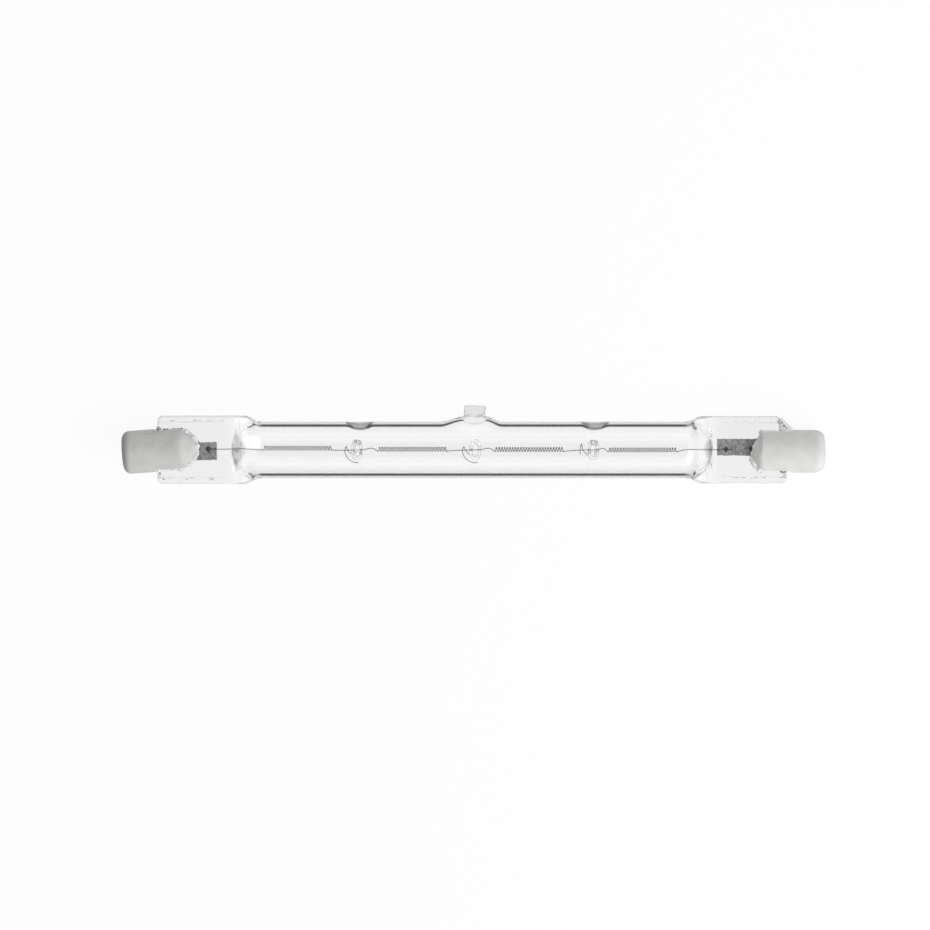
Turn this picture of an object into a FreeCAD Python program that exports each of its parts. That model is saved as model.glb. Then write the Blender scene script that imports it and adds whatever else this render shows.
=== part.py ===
import FreeCAD, Part
import math
import os

# Linear halogen lamp with a recessed contact at each end, millimetres.
# Lamp frame while building: X along the lamp, Y towards the exhaust pip, Z square to the flat seals.
# The finished lamp is turned about X until its pip meets the floor that the tube lies on.

# Whole lamp
contact_span = 114.2
recess_depth = 1.7

# Tube
tube_diameter = 9.5
tube_wall = 0.58
end_length_left = 23.3
end_length_right = 23.4

# Pinch seals
seal_width_left = 11.5
seal_width_right = 11.3
seal_thickness = 3.0
seal_web_thickness = 2.4
seal_press_slope = 2.0
seal_rail_width = 1.0
seal_squareness = 12.0
seal_corner_radius = 0.9
seal_end_inset_left = 5.9
seal_end_inset_right = 6.2
seal_end_slant_right = 1.1
flare_length = 3.0
shoulder_length = 5.4
cavity_end_left = 5.0
cavity_end_right = 4.5
cavity_dome = 4.3
cavity_flare = 0.3
cavity_end_thickness = 0.3

# Exhaust pip and the swelling under it
pip_position = 0.15
pip_diameter = 3.66
pip_height = 2.7
pip_rim_radius = 0.4
pip_bore_diameter = 1.5
pip_bore_rise = 1.0
swell_rise = 0.85
swell_reach_left = 5.8
swell_reach_right = 4.6

# Dimples that hold the filament, and shallow thickenings of the wall on the pip's side
dimple_gap = 0.26
dimple_floor = 0.34
dimple_pit_half_length = 0.33
dimple_pit_half_height = 1.05
dimple_pit_corner = 0.25
dimple_side_wall = 0.45
dimple_flare = 0.5
bulge_offset = 0.4
bulge_depth = 0.8
bulge_half_length = 2.2

# Filament
strand_radius = 0.095
strand_sides = 3
coil_radius = 0.28
coil_heights = (0.26, 0.09, 0.04, -0.03)
coil_shifts = (-0.15, -0.65, -0.8, -1.5)
coil_gap = 8.3
coil_pitch = 0.356
coil_end_margin = 0.8
chords_per_turn = 5
filament_shift = 0.25
leg_height_left = 0.12
leg_height_right = 0.02
leg_hump_height = 0.25
leg_hump_offset = 2.6
leg_weld_length = 1.5

# Support wires
support_strand_radius = 0.08
support_hook_radius = 2.17
support_hook_rises = (0.45, 0.5, 1.0)
support_hook_clearance = 0.03
support_hook_start = 275
support_hook_end = 185

# Foils and outer leads
foil_width_left = 3.0
foil_width_right = 2.8
foil_thickness = 0.03
foil_gap_left = 2.5
foil_gap_right = 0.8
foil_end_gap_left = 1.9
foil_end_gap_right = 3.9
foil_height_left = -0.21
foil_height_right = 0.43
lead_diameter = 0.6
lead_height_left = 0.1
lead_height_right = 0.15
lead_weld_length = 2.5

# Ceramic caps
cap_diameter = 7.2
cap_length = 12.4
cap_outer_edge_radius = 1.3
cap_nose_length = 2.2
cap_nose_drop = 1.85
cap_height_left = -0.51
cap_height_right = -0.24
cap_droop_left = 4.2
recess_diameter = 3.9
contact_seat_diameter = 3.0
slot_width = 3.2
slot_end_gap = 0.35
lead_hole_diameter = 2.0

# Contact buttons
contact_clearance = 0.05
contact_thickness = 1.0

# Cement
cement_bead = 0.22
cement_wedge_thickness = 2.0
cement_wedge_root = 1.0
cement_wedge_out_left = 0.9
cement_wedge_rise_left = 1.1
cement_wedge_out_right = 2.2
cement_wedge_rise_right = 2.0

# Steps in the turned and pressed curves, and the depth by which one form starts inside another
curve_steps = 4
dome_steps = 6
corner_steps = 2
root_depth = 0.25

# Sizes that follow
V = FreeCAD.Vector
ORIGIN = V(0, 0, 0)
AXIS_X = V(1, 0, 0)
AXIS_Y = V(0, 1, 0)
AXIS_Z = V(0, 0, 1)
tube_radius = tube_diameter / 2
bore_radius = tube_radius - tube_wall
lamp_end = contact_span / 2 + recess_depth
strand_flat = strand_radius * math.cos(math.pi / strand_sides)
foil_level = -(strand_flat + foil_thickness / 2)
lead_level = -strand_flat + lead_diameter / 2
dimple_tip = dimple_gap / 2


def left_or_right(side, left, right):
    """Pick the value of one end of the lamp: side is -1 on the left and 1 on the right."""
    return left if side < 0 else right


def soft(share):
    """Share of a change that is done, with a slow start and a slow end."""
    share = min(share, 1.0)
    return (3 - 2 * share) * share ** 2


def ease(start, end, low, high):
    """Points of a soft S-curve that leads from low to high between start and end."""
    shares = [step / curve_steps for step in range(curve_steps + 1)]
    return [(start + share * (end - start), low + soft(share) * (high - low)) for share in shares]


def ring(x, half_width, half_depth, squareness=2.0):
    """Section across the lamp at x in eight arcs, an ellipse when squareness is 2, or squarer."""
    points = []
    for step in range(17):
        turn = math.pi * (step - 1) / 8
        width = math.copysign(abs(math.cos(turn)) ** (2 / squareness), math.cos(turn))
        depth = math.copysign(abs(math.sin(turn)) ** (2 / squareness), math.sin(turn))
        points.append(V(x, half_width * width, half_depth * depth))
    return Part.Wire([Part.Arc(*points[first:first + 3]).toShape() for first in range(0, 16, 2)])


def quarter_round(along, out, radius):
    """Points of a rounded outer corner, from the end face round to the side."""
    points = []
    for step in range(corner_steps + 1):
        turn = math.radians(90 * step / corner_steps)
        points.append((along + radius * (1 - math.sin(turn)), out - radius * (1 - math.cos(turn))))
    return points[::-1]


def outline_face(points, to_space):
    """Flat face with straight sides through points of a drawing, carried into space."""
    corners = [to_space(first, second) for first, second in points]
    return Part.Face(Part.makePolygon(corners + corners[:1]))


def turned(points):
    """Body turned about X from pairs of place along X and radius."""
    face = outline_face(points, lambda along, radius: V(along, radius, 0))
    return face.revolve(ORIGIN, AXIS_X, 360)


def seen_from_front(points, thickness):
    """Flat body with an outline in X and Y, as thick to each side of the seal's middle plane."""
    face = outline_face(points, lambda x, y: V(x, y, -thickness / 2))
    return face.extrude(V(0, 0, thickness))


def seen_from_side(points, width):
    """Flat body with an outline in X and Z, as wide to each side of the lamp's axis."""
    face = outline_face(points, lambda x, z: V(x, -width / 2, z))
    return face.extrude(V(0, width, 0))


def tube_start(side):
    """Distance from the middle of the lamp to where the straight tube ends."""
    return lamp_end - left_or_right(side, end_length_left, end_length_right)


def seal_half_width(side):
    return left_or_right(side, seal_width_left, seal_width_right) / 2


def seal_reach(side):
    """Distance from the middle of the lamp to the middle of a seal's end."""
    return lamp_end - left_or_right(side, seal_end_inset_left, seal_end_inset_right)


def cavity_reach(side):
    """Distance from the middle of the lamp to the end of the space inside the tube."""
    return tube_start(side) + left_or_right(side, cavity_end_left, cavity_end_right)


def section_length():
    """Length that one coil and half the straight stretch to each side of it share."""
    return (cavity_reach(-1) + cavity_reach(1) - 2 * coil_end_margin) / len(coil_heights)


def support_place(number):
    """Place along the lamp of the dimple at the right end of one section of the filament."""
    return filament_shift + (number + 1 - len(coil_heights) / 2) * section_length()


def quartz_end(side):
    """Solid end of the quartz, pinched from the round tube down to the flat seal."""
    start = tube_start(side)
    rings = []
    for step in range(curve_steps + 1):
        share = step / curve_steps
        wide = soft(share * shoulder_length / flare_length)
        half_width = tube_radius + wide * (seal_half_width(side) - tube_radius)
        half_depth = tube_radius + soft(share) * (seal_thickness / 2 - tube_radius)
        squareness = 2 + (seal_squareness - 2) * share ** 3
        place = side * (start + share * shoulder_length)
        rings.append(ring(place, half_width, half_depth, squareness))
    rings.append(ring(side * lamp_end, seal_half_width(side), seal_thickness / 2, seal_squareness))
    return Part.makeLoft(rings, True, True)


def cavity_end(side):
    """End of the space inside the tube: its walls come together, and from the front it is a dome."""
    start = tube_start(side)
    reach = cavity_reach(side)
    widest = bore_radius + cavity_flare
    flare = [(start, 0), (start, bore_radius), (start + flare_length, widest), (reach, widest), (reach, 0)]
    press = ease(start, reach, bore_radius, cavity_end_thickness / 2)
    press += [(along, -out) for along, out in press[::-1]]
    dome = [(start, widest)]
    for step in range(dome_steps + 1):
        turn = math.pi * step / dome_steps
        dome.append((reach - cavity_dome * (1 - math.sin(turn)), widest * math.cos(turn)))
    dome.append((start, -widest))
    body = turned([(side * along, radius) for along, radius in flare])
    body = body.common(seen_from_side([(side * along, out) for along, out in press], 2 * widest))
    return body.common(seen_from_front([(side * along, out) for along, out in dome], 2 * widest))


def round_bar(radius):
    """Straight round stretch between the two ends."""
    length = tube_start(-1) + tube_start(1)
    return Part.makeCylinder(radius, length, V(-tube_start(-1), 0, 0), AXIS_X)


def swelling(radius, half_width):
    """Rise of a round wall towards the pip: its side view met with its end view."""
    top = radius + swell_rise
    inside = radius - root_depth
    left = ease(pip_position - swell_reach_left, pip_position - pip_diameter / 2, inside, top)
    right = ease(pip_position + pip_diameter / 2, pip_position + swell_reach_right, top, inside)
    side_view = [(left[0][0], 0)] + left + right + [(right[-1][0], 0)]
    body = seen_from_front(side_view, 2 * radius)
    turn = math.atan2(half_width, top) + math.acos(inside / math.hypot(half_width, top))
    foot = (inside * math.cos(turn), inside * math.sin(turn))
    upper = [(0, foot[1]), foot, (top, half_width)]
    end_view = upper + [(up, -across) for up, across in upper[::-1]]
    tent = outline_face(end_view, lambda y, z: V(pip_position - swell_reach_left, y, z))
    return body.common(tent.extrude(V(swell_reach_left + swell_reach_right, 0, 0)))


def towards_pip(shape):
    """Stand a body that was turned about X on the tube, under the pip."""
    shape.rotate(ORIGIN, AXIS_Z, 90)
    shape.translate(V(pip_position, 0, 0))
    return shape


def pip():
    """Closed stub of the exhaust tube, round, with a softly rounded top."""
    top = tube_radius + pip_height
    rim = [(2 * top - along, out) for along, out in quarter_round(top, pip_diameter / 2, pip_rim_radius)]
    return towards_pip(turned([(bore_radius, 0), (bore_radius, pip_diameter / 2)] + rim[::-1] + [(top, 0)]))


def pip_bore():
    """Short blind bore that the sealed exhaust tube leaves above the cavity."""
    radius = pip_bore_diameter / 2
    top = bore_radius + swell_rise + pip_bore_rise
    return towards_pip(turned([(0, 0), (0, radius), (top, radius), (top, 0)]))


def plug(x, z, half_length, half_height, corner):
    """Oblong outline with cut corners, square to the depth of a dimple."""
    right = [(half_length, half_height - corner), (half_length - corner, half_height)]
    upper = right + [(-along, up) for along, up in right[::-1]]
    corners = [V(x + along, up, z) for along, up in upper + [(-along, -up) for along, up in upper]]
    return Part.makePolygon(corners + corners[:1])


def dimple(x, face, wall):
    """Tapered plug towards the filament: the pit for no wall, and the glass round it for a wall."""
    tip = dimple_tip if wall else dimple_tip + dimple_floor
    mouth = tube_radius - tube_wall / 2 if wall else tube_radius + tube_wall
    widen = 2 - math.sqrt(2)
    outlines = []
    for level, grow in ((tip, wall), (mouth, wall + dimple_flare)):
        half_length = dimple_pit_half_length + grow
        half_height = dimple_pit_half_height + grow
        outlines.append(plug(x, face * level, half_length, half_height, dimple_pit_corner + widen * grow))
    return Part.makeLoft(outlines, True, True)


def bulge(x):
    """Shallow thickening of the wall on the pip's side."""
    radius = (bulge_half_length ** 2 + bulge_depth ** 2) / (2 * bulge_depth)
    return Part.makeSphere(radius, V(x, bore_radius - bulge_depth + radius, 0))


def seal_trim(side):
    """Everything past the end of one seal, with the seal's corners rounded."""
    end = seal_reach(side)
    slant = left_or_right(side, 0.0, seal_end_slant_right) / 2
    half_width = seal_half_width(side)
    upper = quarter_round(0, half_width, seal_corner_radius)
    past = [(lamp_end + 1, half_width + 1), (lamp_end + 1, -half_width - 1)]
    face = [(end - slant - along, out) for along, out in upper]
    lower = [(end + slant - along, -out) for along, out in upper]
    start = [(face[0][0], half_width + 1)]
    finish = [(lower[0][0], -half_width - 1)]
    outline = start + face[::-1] + lower + finish + past[::-1]
    return seen_from_front([(side * along, out) for along, out in outline], 2 * seal_thickness)


def seal_press(side):
    """The hollows that the pinch jaws leave between the rails on both faces of one seal."""
    start = tube_start(side) + shoulder_length
    half = seal_thickness / 2
    web = seal_web_thickness / 2
    slope = seal_press_slope * (half - web)
    width = 2 * (seal_half_width(side) - seal_rail_width)
    corners = [(start, half), (start + slope, web), (lamp_end, web), (lamp_end, half + root_depth)]
    corners.append((start, half + root_depth))
    upper = seen_from_side([(side * along, out) for along, out in corners], width)
    return upper.fuse(upper.mirror(ORIGIN, AXIS_Z))


def bent_wire(points, radius):
    """Wire of flat-sided section with mitred bends along straight runs, one flat towards -Z."""
    runs = [(after - before).normalize() for before, after in zip(points, points[1:])]
    side = runs[0].cross(AXIS_Z).normalize()
    up = side.cross(runs[0])
    section = []
    for corner in range(strand_sides):
        turn = 2 * math.pi * (corner + 1 / 2) / strand_sides - math.pi / 2
        section.append(points[0] + side * (radius * math.cos(turn)) + up * (radius * math.sin(turn)))
    mitres = [before + after for before, after in zip(runs, runs[1:])] + [runs[-1]]
    sections = [section]
    for point, run, mitre in zip(points[1:], runs, mitres):
        section = [corner + run * ((point - corner).dot(mitre) / run.dot(mitre)) for corner in section]
        sections.append(section)
    faces = [Part.Face(Part.makePolygon(end + end[:1])) for end in (sections[0], sections[-1])]
    for before, after in zip(sections, sections[1:]):
        for corner in range(strand_sides):
            beside = (corner + 1) % strand_sides
            strip = [before[corner], before[beside], after[beside], after[corner], before[corner]]
            faces.append(Part.Face(Part.makePolygon(strip)))
    shell = Part.makeShell(faces)
    shell.sewShape()
    return Part.makeSolid(shell)


def foil_start(side):
    """Distance from the middle of the lamp to the inner edge of a foil."""
    return cavity_reach(side) + left_or_right(side, foil_gap_left, foil_gap_right)


def foil_end(side):
    """Distance from the middle of the lamp to the outer edge of a foil, inside the seal's end."""
    return seal_reach(side) - left_or_right(side, foil_end_gap_left, foil_end_gap_right)


def filament_leg(side):
    """Ends of the straight run that is sealed in the quartz, from the weld on the foil inwards."""
    height = left_or_right(side, leg_height_left, leg_height_right)
    weld = side * (foil_start(side) + leg_weld_length)
    return [V(weld, height, 0), V(side * (tube_start(side) + flare_length), height, 0)]


def coil_points(number):
    """Points of one coil from left to right, which starts and ends at its lower side."""
    length = section_length() - coil_gap
    chords = round(length / coil_pitch) * chords_per_turn
    centre = support_place(number) - section_length() / 2 + coil_shifts[number]
    points = []
    for chord in range(chords + 1):
        turn = 2 * math.pi * chord / chords_per_turn
        along = centre + length * (chord / chords - 1 / 2)
        up = coil_heights[number] - coil_radius * math.cos(turn)
        points.append(V(along, up, coil_radius * math.sin(turn)))
    return points


def support_points(number):
    """Straight stretch through one dimple, and the hump that follows it on the right."""
    x = support_place(number)
    hump = V(x + leg_hump_offset, leg_hump_height, 0)
    return [V(x - leg_hump_offset, 0, 0), V(x, 0, 0), V(x + dimple_pit_half_length, 0, 0), hump]


def filament():
    """Wire in two halves joined at the middle dimple, each drawn from the weld on its foil."""
    middle = support_points(1)
    left = filament_leg(-1) + coil_points(0) + support_points(0) + coil_points(1) + middle[:2]
    right = middle[1:] + coil_points(2) + support_points(2) + coil_points(3)
    right_half = bent_wire(filament_leg(1) + right[::-1], strand_radius)
    return bent_wire(left, strand_radius).fuse(right_half)


def support_wire(number):
    """Hook over the straight leg: an arc round the dimple, over the leg and back to the dimple."""
    x = support_place(number)
    depth = strand_radius + support_strand_radius + support_hook_clearance
    points = []
    for step in range(curve_steps + 1):
        turn = support_hook_start + (support_hook_end - support_hook_start) * step / curve_steps
        reach = V(support_hook_radius * math.cos(math.radians(turn)), 0, -depth)
        points.append(V(x, support_hook_radius * math.sin(math.radians(turn)), 0) + reach)
    over = x - support_hook_radius + coil_radius
    points.append(V(over, support_hook_rises[number], 0))
    points.append(V(over + coil_radius, 0, depth))
    rest = dimple_pit_half_length + dimple_side_wall + 2 * support_strand_radius
    points.append(V(x - rest, -dimple_pit_half_height, depth))
    return bent_wire(points, support_strand_radius)


def foil(side):
    width = left_or_right(side, foil_width_left, foil_width_right)
    height = left_or_right(side, foil_height_left, foil_height_right)
    length = foil_end(side) - foil_start(side)
    left_edge = foil_start(side) if side > 0 else -foil_end(side)
    corner = V(left_edge, height - width / 2, foil_level - foil_thickness / 2)
    return Part.makeBox(length, width, foil_thickness, corner)


def lead(side):
    """Straight outer lead from its weld on the foil to its butt weld on the contact."""
    inner = foil_end(side) - lead_weld_length
    outer = lamp_end - recess_depth - contact_thickness / 2
    height = left_or_right(side, lead_height_left, lead_height_right)
    weld = V(side * inner, height, lead_level)
    wire = Part.makeCylinder(lead_diameter / 2, outer - inner, weld, AXIS_X * side)
    return wire.cut(contact(side))


def place_cap(shape, side):
    """Carry a body from the cap's own frame, outer face at the origin and facing -X, to its end."""
    if side > 0:
        shape.rotate(ORIGIN, AXIS_Z, 180)
    else:
        shape.rotate(ORIGIN, AXIS_Z, cap_droop_left)
    height = left_or_right(side, cap_height_left, cap_height_right)
    shape.translate(V(side * lamp_end, height, 0))
    return shape


def cap_body(growth=0.0):
    """Turned outside of a cap: rounded outer edge and a conical nose, all grown by a bead."""
    radius = cap_diameter / 2
    edge = quarter_round(0, radius + growth, cap_outer_edge_radius)
    end = cap_length + growth
    nose = [(cap_length - cap_nose_length, radius + growth), (end, radius - cap_nose_drop)]
    return turned([(0, 0)] + edge + nose + [(end, 0)])


def slot(side):
    """Space in the cap's own frame that the seal and its cement take."""
    inset = left_or_right(side, seal_end_inset_left, seal_end_inset_right - seal_end_slant_right / 2)
    depth = inset - slot_end_gap
    corner = V(depth, -cap_diameter, -slot_width / 2)
    return Part.makeBox(cap_length, 2 * cap_diameter, slot_width, corner)


def cap(side):
    """Turned cap with the slot for the seal, the recess with the contact's seat, and the lead hole."""
    body = cap_body().cut(slot(side))
    seat_depth = recess_depth + contact_thickness
    sockets = ((recess_diameter, recess_depth), (contact_seat_diameter, seat_depth))
    for diameter, depth in sockets + ((lead_hole_diameter, cap_length),):
        body = body.cut(Part.makeCylinder(diameter / 2, depth, ORIGIN, AXIS_X))
    return place_cap(body, side)


def contact(side):
    """Round flat button in the seat at the bottom of the recess."""
    radius = contact_seat_diameter / 2 - contact_clearance
    button = Part.makeCylinder(radius, contact_thickness, V(recess_depth, 0, 0), AXIS_X)
    return place_cap(button, side)


def cement_wedge(side):
    """Cement that stands in the corner between the seal's upper end and the cap's barrel."""
    seal_end = seal_reach(side)
    out = left_or_right(side, cement_wedge_out_left, cement_wedge_out_right)
    rise = left_or_right(side, cement_wedge_rise_left, cement_wedge_rise_right)
    foot = cap_diameter / 2 - cement_wedge_root
    inner = seal_end - cement_wedge_root
    corners = [(inner, foot), (inner, foot + cement_wedge_root + rise)]
    corners.append((seal_end, foot + cement_wedge_root + rise))
    corners += [(seal_end + out, foot + cement_wedge_root), (seal_end + out, foot)]
    return seen_from_front([(side * along, up) for along, up in corners], cement_wedge_thickness)


def cement(side, quartz, ceramic):
    """Cement in the slot, squeezed out by a bead all round and in a wedge at the seal's end."""
    filler = place_cap(cap_body(cement_bead).common(slot(side)), side).fuse(cement_wedge(side))
    return filler.cut(quartz).cut(ceramic).cut(lead(side))


def quartz_body():
    """Solid outside of the quartz, before anything is hollowed out of it."""
    body = round_bar(tube_radius).fuse(quartz_end(-1)).fuse(quartz_end(1))
    body = body.fuse(swelling(tube_radius, pip_diameter / 2)).fuse(pip())
    for side in (-1, 1):
        body = body.cut(seal_press(side)).cut(seal_trim(side))
    return body


def cavity():
    """Space inside the tube, with the glass of the dimples and thickenings standing in it."""
    space = round_bar(bore_radius).fuse(cavity_end(-1)).fuse(cavity_end(1))
    space = space.fuse(swelling(bore_radius, pip_diameter / 2 - tube_wall)).fuse(pip_bore())
    for number in (0, 2):
        space = space.cut(bulge(support_place(number) + bulge_offset))
    for number in range(3):
        for face in (1, -1):
            space = space.cut(dimple(support_place(number), face, dimple_side_wall))
    return space


def quartz_envelope(quartz):
    """Finished glass: hollow, dimpled and with room for what is sealed in its ends."""
    glass = quartz.cut(cavity())
    for number in range(3):
        for face in (1, -1):
            glass = glass.cut(dimple(support_place(number), face, 0))
    for side in (-1, 1):
        glass = glass.cut(foil(side)).cut(lead(side)).cut(bent_wire(filament_leg(side), strand_radius))
    return glass


def lying_angle():
    """Turn about X that brings the pip's rim down to the floor that the tube lies on."""
    out = tube_radius + pip_height - pip_rim_radius
    across = pip_diameter / 2 - pip_rim_radius
    reach = math.hypot(out, across)
    return math.degrees(math.asin((tube_radius - pip_rim_radius) / reach) - math.atan2(across, out))


def build():
    """All pieces of the lamp by node name, in the lamp frame."""
    quartz = quartz_body()
    pieces = {"quartz_envelope": quartz_envelope(quartz)}
    pieces["filament"] = filament()
    for number, place in enumerate(("left", "middle", "right")):
        pieces[place + "_support_wire"] = support_wire(number)
    for side, place in ((-1, "left"), (1, "right")):
        pieces[place + "_foil"] = foil(side)
        pieces[place + "_lead"] = lead(side)
        pieces[place + "_cap"] = cap(side)
        pieces[place + "_contact"] = contact(side)
        pieces[place + "_cement"] = cement(side, quartz, pieces[place + "_cap"])
    return pieces


def main():
    os.makedirs("parts", exist_ok=True)
    for name, shape in build().items():
        shape.rotate(ORIGIN, AXIS_X, -lying_angle())
        shape.exportStep("parts/" + name + ".step")
        print(name, shape.isValid(), len(shape.Solids), len(shape.Faces), round(shape.Volume, 3))


main()
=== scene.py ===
import math
import bmesh
import bpy
import numpy as np
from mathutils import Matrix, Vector, noise


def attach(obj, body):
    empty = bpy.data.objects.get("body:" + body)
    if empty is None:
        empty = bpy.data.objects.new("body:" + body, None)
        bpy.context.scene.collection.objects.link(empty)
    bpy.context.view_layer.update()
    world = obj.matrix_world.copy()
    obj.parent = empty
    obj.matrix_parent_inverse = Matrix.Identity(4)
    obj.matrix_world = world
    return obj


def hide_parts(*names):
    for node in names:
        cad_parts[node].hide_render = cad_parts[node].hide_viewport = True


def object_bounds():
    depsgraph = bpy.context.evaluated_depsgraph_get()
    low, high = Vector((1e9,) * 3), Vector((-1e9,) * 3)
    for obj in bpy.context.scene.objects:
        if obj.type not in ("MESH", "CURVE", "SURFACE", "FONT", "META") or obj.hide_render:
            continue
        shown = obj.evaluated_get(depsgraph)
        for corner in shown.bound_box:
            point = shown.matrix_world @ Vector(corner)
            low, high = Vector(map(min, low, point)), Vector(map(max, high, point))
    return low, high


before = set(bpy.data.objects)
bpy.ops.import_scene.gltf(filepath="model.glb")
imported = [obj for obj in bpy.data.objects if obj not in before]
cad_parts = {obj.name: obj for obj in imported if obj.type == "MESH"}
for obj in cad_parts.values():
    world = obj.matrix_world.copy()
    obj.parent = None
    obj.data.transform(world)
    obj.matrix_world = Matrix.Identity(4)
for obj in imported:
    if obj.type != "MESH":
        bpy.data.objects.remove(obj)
cad_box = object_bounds()

# Sizes in millimetres, in the lamp frame: X along the lamp, Y towards the pip, Z square to the seals.
# Values for both ends are keyed by side. Ends of tube, seal and cavity are counted outward from the middle.
LEFT, RIGHT = -1, 1
MM = 0.001
LAMP_END = 58.8

# Tube and pinch seals
TUBE_RADIUS = 4.74
BORE_RADIUS = 4.17
TUBE_END = {LEFT: 35.5, RIGHT: 35.4}
FLARE_LENGTH = 3.0
SHOULDER_LENGTH = 5.4
SEAL_END = {LEFT: 52.9, RIGHT: 51.9}
SEAL_HALF_WIDTH = {LEFT: 5.72, RIGHT: 5.62}
SEAL_HALF_DEPTH = 1.5
SEAL_SLANT = {LEFT: 0.0, RIGHT: 0.55}
SEAL_SLANT_REACH = 3
SEAL_CORNER = 0.9
SEAL_EDGE = 0.25
SEAL_SQUARENESS = 12.0
RAIL_WIDTH = 1.0
RAIL_SLOPE = 0.3
WEB_HALF_DEPTH = 1.2
WEB_RUN_IN = 0.8
ROUGH_RUN_IN = 1.5
ROUGH_WIDTH = 1.6
ROUGH_EDGE = 0.6
ROUGH_DEPTH_ON_FACE = 0.3
ROUGH_DEPTH_ON_SIDE = 0.07

# Cavity inside the quartz, closing in a dome at each end
CAVITY_END = {LEFT: 40.5, RIGHT: 39.9}
CAVITY_FLARE = 0.3
CAVITY_DOME = 1.7
CAVITY_DOME_DEPTH = 2.2
CAVITY_OVERRUN = 1.3
CAVITY_BOW = 1.7
CAVITY_BOW_HALF_WIDTH = 4.2
DOME_NARROWING = 0.25
DOME_LEAST = 0.02

# Exhaust pip and the swelling under it
PIP_X = 0.15
PIP_RADIUS = 1.81
PIP_TOP = 7.43
PIP_DISH = ((0.0, 0.02), (0.7, 0.01))
PIP_RIM = 0.4
PIP_WAIST = 0.07
PIP_WAIST_LEVELS = (6.7, 6.3, 5.95)
PIP_FOOT_REACH = 0.45
PIP_FOOT_DROP = 0.4
PIP_LAND = 2.6
PIP_LAND_SHARE = 0.8
PIP_BASE_LEVEL = 2.5
FOLD_LEVELS = (5.0, 6.2)
FOLD_FADES = (0.3, 0.4)
FOLD_SIZE = 0.55
FOLD_SEEDS = (8, 9, 10)
FOLD_STRENGTH = 1.6
LEAN_LEVEL = 6.1
LEAN_HEIGHT = 1.1
LEAN_OUT = 0.16
LEAN_OUT_RUN = 1.5
LEAN_DOWN = 0.07
LEAN_DOWN_START = 0.6
LEAN_DOWN_RUN = 2.2
SWELL_RISE = 0.85
SWELL_LEFT = 5.8
SWELL_RIGHT = 4.6
SWELL_HALF_ANGLE = 0.85

# Dimples at the supports: half length, half height, share of the flat floor and depth, outside and inside
SUPPORTS = (-19.45, 0.25, 19.95)
OUTER_DIMPLE = (0.53, 1.27, 0.64, 4.27)
INNER_DIMPLE = (0.9, 1.62, 0.7, 4.04)

# Thick spots of the wall, on the pip's side
BULGES = (-19.05, 20.35)
BULGE_DEPTH = 0.66
BULGE_HALF_LENGTH = 2.25

# Rings along the quartz as (start, end, step) spans, and where points crowd round it as (angle, width, gain)
OUTER_SPANS = (
    (-SEAL_END[LEFT], -SEAL_END[LEFT] + SEAL_CORNER, 0.12), (-SEAL_END[LEFT] + SEAL_CORNER, -41.2, 0.3),
    (-41.2, -34.5, 0.25), (-34.5, -20.5, 1.0), (-20.5, -18.4, 0.06), (-18.4, -6.5, 1.0), (-6.5, -3.3, 0.25),
    (-3.3, -0.7, 0.085), (-0.7, 1.2, 0.06), (1.2, 3.5, 0.085), (3.5, 5.5, 0.25), (5.5, 18.9, 1.0),
    (18.9, 21.0, 0.06), (21.0, 34.5, 1.0), (34.5, 41.2, 0.25),
    (41.2, SEAL_END[RIGHT] - SEAL_CORNER, 0.3), (SEAL_END[RIGHT] - SEAL_CORNER, SEAL_END[RIGHT], 0.12),
)
INNER_SPANS = (
    (-CAVITY_END[LEFT], -CAVITY_END[LEFT] + CAVITY_DOME, 0.07), (-CAVITY_END[LEFT] + CAVITY_DOME, -34.5, 0.25),
    (-34.5, -22, 1.0), (-22, -20.6, 0.14), (-20.6, -18.3, 0.06), (-18.3, -16.5, 0.12), (-16.5, -6.5, 1.0),
    (-6.5, -2.5, 0.25), (-2.5, -0.8, 0.12), (-0.8, 1.3, 0.06), (1.3, 2.8, 0.12), (2.8, 5.5, 0.25),
    (5.5, 17.3, 1.0), (17.3, 18.9, 0.14), (18.9, 21.1, 0.06), (21.1, 22.9, 0.12), (22.9, 34.5, 1.0),
    (34.5, CAVITY_END[RIGHT] - CAVITY_DOME, 0.25), (CAVITY_END[RIGHT] - CAVITY_DOME, CAVITY_END[RIGHT], 0.07),
)
RING_POINTS = 240
CROWDS = ((0, 0.42, 2.0), (math.pi / 2, 0.4, 3.2), (-math.pi / 2, 0.4, 3.2))
CROWD_EDGE = 0.05

# Filament. TURN_RADII is the coiled wire's radius between turns, on a turn's low side and on its top side.
STRAND_RADIUS = 0.06
TURN_RADII = (0.055, 0.105, 0.135)
COIL_RADIUS = 0.3
COIL_CENTRES = (-29.45, -10.25, 9.3, 28.3)
COIL_HEIGHTS = (0.26, 0.09, 0.04, -0.03)
COIL_LENGTH = 11.4
COIL_TURNS = 25
CHORDS = 14
LEFT_LEG = [(-44.5, 0.12, 0), (-41.0, 0.12, 0), (-38.0, 0.22, 0), (-36.3, 0.05, 0), (-35.3, -0.02, 0)]
RIGHT_LEG = [(35.4, 0.0, 0), (38.0, 0.02, 0), (43.5, 0.02, 0)]
LEG_SAG = (-2.6, -0.08)
LEG_PAST_DIMPLE = 0.8
LEG_HUMP = (-0.9, 0.25)
LEG_END_GAP = 0.06

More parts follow.
